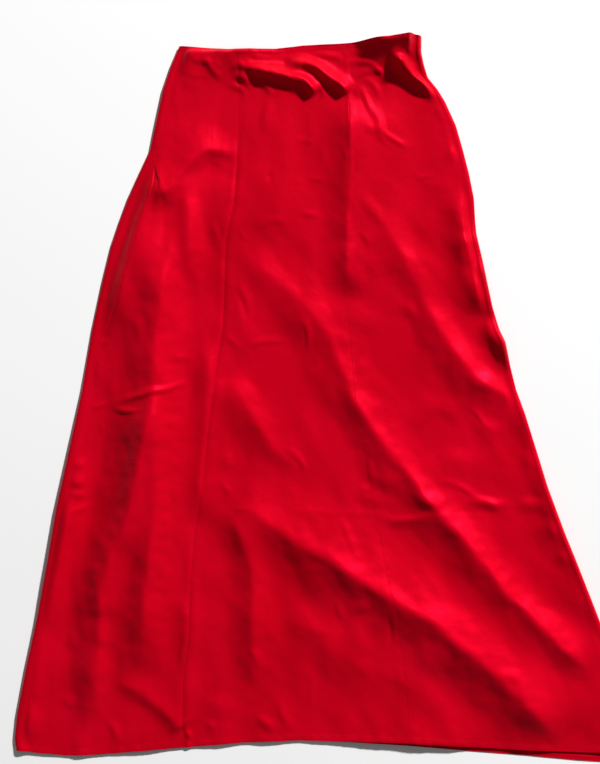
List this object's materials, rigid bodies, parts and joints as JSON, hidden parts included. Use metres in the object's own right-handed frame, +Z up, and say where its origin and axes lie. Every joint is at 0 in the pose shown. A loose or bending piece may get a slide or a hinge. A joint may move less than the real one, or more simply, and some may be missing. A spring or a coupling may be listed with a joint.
{
  "type": "maxi skirt",
  "caption": "Long A-line gored satin skirt laid flat, front up, with diagonal drape folds, turned waist edge and narrow stitched hem.",
  "frame": {"origin": "middle of the laid-out skirt's outline, on the surface that it lies on", "axes": "+Y from hem to waist, +X to the viewer's right over the front, +Z up out of the front"},
  "size_m": [0.8952, 1.026, 0.0363],
  "materials": {
    "satin": "soft sheen satin weave, plain red"
  },
  "bodies": {
    "root": {"front_centre": "satin", "front_left": "satin", "front_right": "satin", "back_centre": "satin", "back_left": "satin", "back_right": "satin"}
  },
  "joints": []
}
